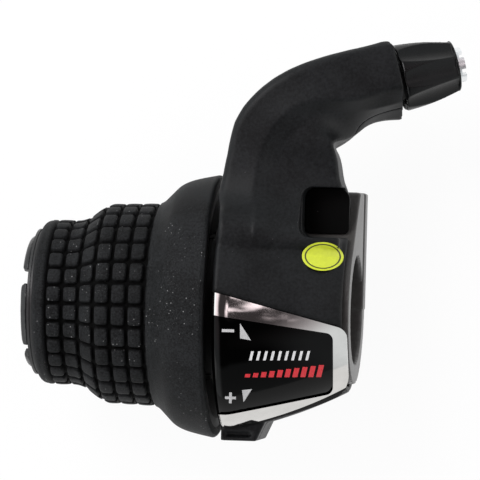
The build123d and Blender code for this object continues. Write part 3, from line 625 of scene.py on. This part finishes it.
def slimNeck(mesh):
    middle = Vector(neck["middle"])
    for vert in mesh.vertices:
        across, up = vert.co.dot(sightSide) / mm, vert.co.y / mm
        out = Vector((across, up)) - middle
        angle = math.degrees(math.atan2(out.y, out.x)) % 360
        reach, deep, pull = (
            numpy.interp(angle, neck["angle"], neck[key]) for key in ("reach", "deep", "pull")
        )
        inward = out.normalized() * soften(out.length, reach - deep, reach - deep * neck["whole"]) * pull
        web = soften(across, *neck["webAcross"]) * soften(up, *neck["webNear"])
        web *= neck["web"] * (1 - soften(up, *neck["webFar"]))
        vert.co -= (sightSide * (inward.x + web) + upright * inward.y) * mm


def draftWall(mesh, shape):  # the wall under the web leans in, as it leaves the mould
    near, far = shape["draftAlong"]
    for vert in mesh.vertices:
        x, y, z = vert.co / mm
        along = soften(y, *near) * (1 - soften(y, *far))
        lean = shape["draft"] * max(shape["draftTop"] - z, 0.0)
        vert.co.x -= lean * along * soften(x, *shape["draftAcross"]) * mm


def flareKnob(mesh, shape):  # the knob's wall stands a little wider, and its back comes nearer to the neck
    joints = frame["record"]["behaviour"]["joints"]
    turn = next(joint for joint in joints if joint["name"] == "adjuster_turn")
    foot, axis = Vector(turn["pos_m"]), Vector(turn["axis"]).normalized()
    for vert in mesh.vertices:
        along = (vert.co - foot).dot(axis)
        out = vert.co - foot - axis * along
        wall = soften(out.length / mm, *shape["flareFrom"])
        vert.co += out.normalized() * shape["flare"] * soften(along / mm, *shape["flareRun"]) * wall * mm
        skirt = (1 - soften(along / mm, *shape["skirtRun"])) * soften(out.length / mm, *shape["skirtFrom"])
        vert.co -= axis * shape["skirt"] * skirt * mm


def mergedCopy(node):  # a node's loose triangles as one closed solid
    solid = bmesh.new()
    solid.from_mesh(nodes[node].data)
    bmesh.ops.remove_doubles(solid, verts=solid.verts[:], dist=mergeGap * mm)
    return solid


def makeMoulded(node, shape):
    finish = finishes[slotOf[node]]
    solid = mergedCopy(node)
    mesh = bpy.data.meshes.new(shape["piece"])
    solid.to_mesh(mesh)
    solid.free()
    obj = newPiece(shape["piece"], mesh, finish)
    remesh = obj.modifiers.new("skin", "REMESH")
    remesh.mode = "VOXEL"
    remesh.voxel_size = shape["voxel"] * mm
    remesh.use_smooth_shade = True
    smooth = obj.modifiers.new("edges", "SMOOTH")
    smooth.factor = passShare
    smooth.iterations = shape["passes"]
    keepPlain(obj)
    if "slim" in shape:
        slimNeck(obj.data)
    if "draft" in shape:
        draftWall(obj.data, shape)
    if "flare" in shape:
        flareKnob(obj.data, shape)
    dress(obj, finish)
    return settle(obj, shape["body"], slotOf[node], node)


skins = {node: makeMoulded(node, shape) for node, shape in moulded.items()}
print("moulded:", {node: len(skin.data.polygons) for node, skin in skins.items()})


# bright frame and window: the frame's own solids, with a broad rolled edge beside the grip
trim = {
    "roll": 3.6, "slices": 18, "crowd": 1.5, "cutGap": 0.0001, "onCut": 0.001,
    "seat": 25.0, "near": 0.12, "oldRound": 1.0, "crease": 40.0,
    "frameDrop": 1.45, "windowDrop": 1.4, "sill": 7.7, "sillTilt": 0.047,
}


def cutAt(solid, place, facing, **cut):
    everything = solid.verts[:] + solid.edges[:] + solid.faces[:]
    return bmesh.ops.bisect_plane(
        solid, geom=everything, dist=trim["cutGap"] * mm, plane_co=place, plane_no=facing, **cut
    )


def rollEdge(solid, drop):
    roll, seat, oldRound = trim["roll"], trim["seat"], trim["oldRound"]
    left = min(vert.co.x for vert in solid.verts) / mm

    def cutPlace(step):  # cuts crowd towards the edge
        return left + roll * (step / trim["slices"]) ** trim["crowd"]

    def radiusAt(place):
        ring = [vert.co for vert in solid.verts if abs(vert.co.x / mm - place) < trim["onCut"]]
        return max(math.hypot(spot.y, spot.z) for spot in ring) / mm

    for step in range(1, trim["slices"] + 2):
        cutAt(solid, (cutPlace(step) * mm, 0, 0), (1, 0, 0))
    after = cutPlace(trim["slices"] + 1)
    crown = radiusAt(left + roll)
    slope = (crown - radiusAt(after)) / (after - left - roll)
    for vert in solid.verts:
        along = vert.co.x / mm - left
        if along >= roll:
            continue
        radius = math.hypot(vert.co.y, vert.co.z) / mm
        level = crown + slope * (roll - along)
        before = level - oldRound + oldRound * math.sqrt(1 - max(1 - along / oldRound, 0) ** 2)
        wanted = level - drop * (1 - math.sqrt(1 - (1 - along / roll) ** 2))
        if radius < before - trim["near"]:
            wanted = seat + (radius - seat) * (wanted - seat) / (before - seat)
        if radius > seat + trim["near"]:
            vert.co.y *= wanted / radius
            vert.co.z *= wanted / radius


def trimPiece(solid, name, finish):
    mesh = bpy.data.meshes.new(name)
    for face in solid.faces:
        face.smooth = True
    solid.to_mesh(mesh)
    solid.free()
    if "custom_normal" in mesh.attributes:
        mesh.attributes.remove(mesh.attributes["custom_normal"])
    mesh.set_sharp_from_angle(angle=math.radians(trim["crease"]))
    return newPiece(name, mesh, finish)


def makeTrim():
    window = mergedCopy("indicator_window")
    rollEdge(window, trim["windowDrop"])
    glass = trimPiece(window, "rolledWindow", finishes["window_gloss"])
    settle(glass, "bracket", "window_gloss", "indicator_window")
    bright = mergedCopy("indicator_bezel")
    rollEdge(bright, trim["frameDrop"])
    sill = bright.copy()  # the black strip under the frame
    for solid, side in ((bright, "clear_inner"), (sill, "clear_outer")):
        made = cutAt(solid, (0, 0, trim["sill"] * mm), (trim["sillTilt"], 0, 1), **{side: True})
        rim = [item for item in made["geom_cut"] if isinstance(item, bmesh.types.BMEdge)]
        bmesh.ops.holes_fill(solid, edges=rim)
    frameTop = trimPiece(bright, "rolledFrame", finishes["bright_trim"])
    settle(frameTop, "bracket", "bright_trim", "indicator_bezel")
    dull = coverFinish("dullSill", grey(0.002), grey(0.004), rough=(0.6, 0.75), grain=0.02, shine=0.05)
    frameFoot = settle(trimPiece(sill, "frameSill", dull), "bracket", "cover_plastic")
    return glass, frameTop, frameFoot


trims = makeTrim()
print("trim:", [len(piece.data.polygons) for piece in trims])


# prints: thin patches laid on the window and the cover where the rider's eye sees them
marks = {
    "lift": 0.03, "step": 0.4, "bridge": 0.12, "bridgeRounds": 4,
    "minus": [(-27.62, -5.2), (-25.1, -5.2), (-25.1, -4.6), (-27.62, -4.6)],
    "lessWedge": [(-23.93, -3.31), (-23.85, -6.41), (-21.57, -6.77)],
    "moreWedge": [(-23.16, -17.04), (-22.78, -19.51), (-21.1, -16.78)],
    "plusCentre": (-25.5, -18.7), "plusReach": 1.12, "plusHalf": 0.28,
    "ticks": {"count": 9, "left": -21.9, "right": -10.3, "foot": -10.9, "wide": 0.55, "tall": (1.9, 1.9)},
    "bars": {"count": 10, "left": -22.7, "right": -8.0, "foot": -14.4, "wide": 1.05, "tall": (0.7, 2.5)},
    "slant": 0.22, "climb": 0.03,
    "stickerCentre": (-7.25, 10.9), "stickerHalf": (4.3, 2.95), "stickerRough": 0.35, "ring": (0.80, 0.87),
    "silver": grey(0.50), "white": grey(0.72), "red": (0.62, 0.02, 0.03),
    "lime": (0.60, 0.68, 0.035), "olive": (0.05, 0.055, 0.01),
}


def resampled(outline):  # points along a closed outline, no further apart than a step
    points = []
    for i, here in enumerate(outline):
        after = outline[(i + 1) % len(outline)]
        count = max(1, math.ceil(math.dist(here, after) / marks["step"]))
        for step in range(count):
            share = step / count
            points.append((here[0] + share * (after[0] - here[0]), here[1] + share * (after[1] - here[1])))
    return points


def oval(centre, half, share=1.0, count=72):
    turns = [math.tau * i / count for i in range(count)]
    return [
        (centre[0] + share * half[0] * math.cos(turn), centre[1] + share * half[1] * math.sin(turn))
        for turn in turns
    ]


def plusSign():
    x, y = marks["plusCentre"]
    far, near = marks["plusReach"], marks["plusHalf"]
    outline = []
    for turn in range(4):
        for across, up in ((far, near), (near, near), (near, far)):
            for _ in range(turn):
                across, up = -up, across
            outline.append((x + across, y + up))
    return outline


def slantedRow(row):  # upright bars that lean to the right, on a line that climbs a little
    bars = []
    low, high = row["tall"]
    for i in range(row["count"]):
        share = i / (row["count"] - 1)
        left = row["left"] + share * (row["right"] - row["left"])
        right = left + row["wide"]
        foot = row["foot"] + marks["climb"] * (left - row["left"])
        tall = low + share * (high - low)
        lean = marks["slant"] * tall
        bars.append([(left, foot), (right, foot), (right + lean, foot + tall), (left + lean, foot + tall)])
    return bars


def evenOut(spots):  # a sticker bridges small steps: its height is a smooth curve over its place
    x, y, z = (numpy.array(spots) / mm).T
    terms = numpy.stack([numpy.ones_like(x), x, y, x * x, x * y, y * y], axis=1)
    trusted = numpy.ones(len(x), bool)
    for _ in range(marks["bridgeRounds"]):
        fit = numpy.linalg.lstsq(terms[trusted], z[trusted], rcond=None)[0]
        trusted = numpy.abs(z - terms @ fit) < marks["bridge"]
    return [Vector((a, b, c)) * mm for a, b, c in zip(x, y, numpy.maximum(z, terms @ fit))]


# rings from the hole or the middle to the outline
def layPatch(patch, carrier, outline, hole, bridge):
    rim = resampled(outline)
    middle = (sum(p[0] for p in rim) / len(rim), sum(p[1] for p in rim) / len(rim))
    reach = max(math.dist(middle, point) for point in rim)
    rings = max(1, math.ceil(reach * (1 - hole) / marks["step"]))
    rows = []
    for ring in range(rings + 1):
        share = hole + (1 - hole) * ring / rings
        row = []
        for point in rim if share else rim[:1]:
            across, up = (middle[axis] + share * (point[axis] - middle[axis]) for axis in (0, 1))
            seen = (sightSide * across + upright * up) * mm
            spot, normal, _, _ = carrier.ray_cast(eyePlace, (seen - eyePlace).normalized())
            row.append(patch.verts.new(spot + normal * marks["lift"] * mm))
        rows.append(row)
    if bridge:
        laid = [vert for row in rows for vert in row]
        for vert, spot in zip(laid, evenOut([vert.co for vert in laid])):
            vert.co = spot
    for inner, outer in zip(rows, rows[1:]):
        for i in range(len(rim)):
            j = (i + 1) % len(rim)
            corners = [inner[0]] if len(inner) == 1 else [inner[j], inner[i]]
            patch.faces.new([outer[i], outer[j], *corners])


def makePrint(name, finish, slot, target, outlines, hole=0.0, bridge=False):
    surface = bmesh.new()
    surface.from_mesh(target.data)
    carrier = BVHTree.FromBMesh(surface)
    surface.free()
    patch = bmesh.new()
    for outline in outlines:
        layPatch(patch, carrier, outline, hole, bridge)
    for face in patch.faces:
        face.smooth = True
        if face.normal.dot(sightBack) < 0:
            face.normal_flip()
    mesh = bpy.data.meshes.new(name)
    patch.to_mesh(mesh)
    patch.free()
    return settle(newPiece(name, mesh, finish), "bracket", slot)


def makePrints(window, housing):
    silver, white = printFinish("silverPrint", marks["silver"]), printFinish("whitePrint", marks["white"])
    red, olive = printFinish("redPrint", marks["red"]), printFinish("olivePrint", marks["olive"])
    lime = printFinish("limePrint", marks["lime"], marks["stickerRough"])
    signs = [marks["minus"], marks["lessWedge"], marks["moreWedge"], plusSign()]
    inner, outer = marks["ring"]
    edge = oval(marks["stickerCentre"], marks["stickerHalf"])
    ring = oval(marks["stickerCentre"], marks["stickerHalf"], outer)
    made = [
        makePrint("windowSigns", silver, "window_gloss", window, signs),
        makePrint("windowTicks", white, "window_gloss", window, slantedRow(marks["ticks"])),
        makePrint("windowBars", red, "window_gloss", window, slantedRow(marks["bars"])),
        makePrint("limeLabel", lime, "cover_plastic", housing, [edge], bridge=True),
    ]
    made.append(makePrint("labelRing", olive, "cover_plastic", made[-1], [ring], inner / outer))
    return made


prints = makePrints(trims[0], skins["upper_cover"])
print("prints:", len(prints))


# studio: pale floor, a soft key from the upper left, fills from the front and the right, and a room whose
# bands, arcs and edges are parts of a ray's direction
studio = {
    "floorDrop": 0.5, "floorSize": 3000.0, "floorColour": (0.86, 0.86, 0.86), "floorGlow": 0.93,
    "walls": (0.42, 1.0), "wallTurn": (-0.2, 0.5), "wallColour": (0.95, 0.98, 1.0),
    "ceiling": 0.05, "ceilingBand": (0.58, 0.86), "ceilingColour": (1.0, 0.86, 0.90), "leftRise": 0.25,
    "clutter": 1.8, "clutterScale": 6.0, "clutterDetail": 2.0, "clutterEdge": (0.48, 0.62),
    "clutterArc": (-0.25, -0.05), "clutterLeft": (0.12, 0.25),
    "front": 0.42, "frontBand": (0.50, 0.58), "frontArc": (0.35, 0.65), "frontRight": (0.42, 0.62),
    "panel": 1.4, "panelEdge": (0.05, 0.25), "panelTop": (0.99, 0.93),
    "lamps": [  # name, place, aim, width, watts, colour
        ("key", (-260, 330, 520), (-20, 12, 0), 320, 1.8, (1.0, 0.99, 1.0)),
        ("front", (-380, -400, 230), (-30, 0, 0), 300, 0.3, (1.0, 0.98, 0.95)),
        ("inboard", (460, 60, 120), (0, 10, 0), 260, 0.45, (1.0, 0.98, 0.95)),
    ],
}


def makeFloor():  # the camera and reflections see it pale, and it keeps the object's shadow
    finish = Finish("paleFloor")
    diffuse = finish.node("ShaderNodeBsdfDiffuse", None, {"Color": (*studio["floorColour"], 1.0)})
    glow = finish.node("ShaderNodeEmission", None, {"Color": (1, 1, 1, 1), "Strength": 1.0})
    rays = finish.node("ShaderNodeLightPath").socket.node.outputs
    labels = ("Is Camera Ray", "Is Glossy Ray", "Is Transmission Ray")
    camera, glossy, through = (Socket(finish, rays[label]) for label in labels)
    shown = finish.least(camera + glossy + through, 1.0) * studio["floorGlow"]
    both = finish.node("ShaderNodeMixShader", None, {0: shown, 1: diffuse, 2: glow})
    finish.node("ShaderNodeOutputMaterial", None, {"Surface": both})
    size = studio["floorSize"] / 2 * mm
    level = cadBox[0].z - studio["floorDrop"] * mm
    corners = [(-size, -size, level), (size, -size, level), (size, size, level), (-size, size, level)]
    mesh = bpy.data.meshes.new("floor")
    mesh.from_pydata(corners, [], [(0, 1, 2, 3)])
    newPiece("floor", mesh, finish.material)


def makeLamps():
    for name, place, aim, size, power, colour in studio["lamps"]:
        data = bpy.data.lights.new(name, "AREA")
        data.shape = "DISK"
        data.size = size * mm
        data.energy = power
        data.color = colour
        lamp = bpy.data.objects.new(name, data)
        lamp.location = Vector(place) * mm
        lamp.rotation_euler = ((Vector(aim) - Vector(place)) * mm).to_track_quat("-Z", "Y").to_euler()
        bpy.context.scene.collection.objects.link(lamp)


# bright walls under a dim ceiling, a dim side in front, a lit panel on the left, pale shapes at the top right
def makeRoom():
    world = bpy.data.worlds.new("studio")
    bpy.context.scene.world = world
    world.use_nodes = True
    room = Tree(world.node_tree)
    world.node_tree.nodes.clear()
    ray = room.node("ShaderNodeTexCoord", out="Generated")
    side, forward, height = room.parts(ray)
    overhead = room.ease(height + room.least(side, 0.0) * studio["leftRise"], *studio["ceilingBand"])
    inFront = room.ease(forward * -1.0, *studio["frontArc"]) * (1 - room.ease(side, *studio["frontRight"]))
    aboveFront = room.ease(height, *studio["frontBand"])
    things = room.node("ShaderNodeTexNoise", None, {
        "Vector": ray, "Scale": studio["clutterScale"], "Detail": studio["clutterDetail"],
    })
    above = overhead * room.ease(forward, *studio["clutterArc"]) * room.ease(side, *studio["clutterLeft"])
    clutter = room.ease(things, *studio["clutterEdge"]) * above * studio["clutter"]
    panelSide = room.ease(side * -1.0, *studio["panelEdge"])
    panel = panelSide * room.ease(height, *studio["panelTop"]) * studio["panel"]
    colour = room.tint(overhead, studio["wallColour"], studio["ceilingColour"])
    walls = room.ease(side, *studio["wallTurn"], *studio["walls"])
    around = walls + overhead * (studio["ceiling"] - walls)
    ahead = studio["front"] + aboveFront * (studio["ceiling"] - studio["front"])
    strength = around + inFront * (ahead - around) + clutter + panel
    glow = room.node("ShaderNodeBackground", None, {"Color": colour, "Strength": strength})
    room.node("ShaderNodeOutputWorld", None, {"Surface": glow})


makeFloor()
makeLamps()
makeRoom()
bpy.context.scene.view_settings.view_transform = "Standard"
print("studio ready")
